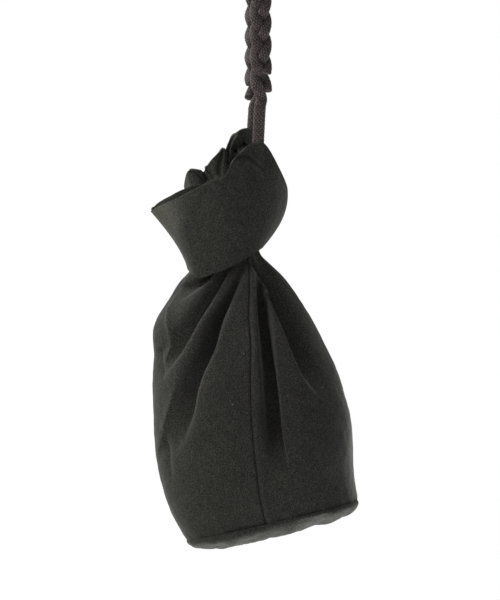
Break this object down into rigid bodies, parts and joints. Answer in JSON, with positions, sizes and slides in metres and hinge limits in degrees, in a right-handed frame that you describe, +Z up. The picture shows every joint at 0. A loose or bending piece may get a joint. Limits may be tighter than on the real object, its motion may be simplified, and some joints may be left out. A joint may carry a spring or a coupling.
{
  "type": "shoulder bag",
  "caption": "Soft cloth bag with a flat sewn base and a knotted neck: a wide tie wraps the gathers and a plaited cord strap rises from both ties",
  "frame": {"origin": "the underside of the plaited strap at the top of its loop, where it rests on a hook", "axes": "+Z up, the bag hangs along -Z; -Y is the side with the front seam and the front tie; +X to the right seen from there"},
  "size_m": [0.1663, 0.1224, 0.4998],
  "materials": {
    "bag_cloth": "napped woven cotton",
    "strap_cord": "soft braided cotton cord"
  },
  "bodies": {
    "root": {"left_panel": "bag_cloth", "right_panel": "bag_cloth", "base_panel": "bag_cloth", "front_tie": "bag_cloth", "back_tie": "bag_cloth", "strap_cord_main": "strap_cord", "strap_cord_left": "strap_cord", "strap_cord_right": "strap_cord"}
  },
  "joints": []
}
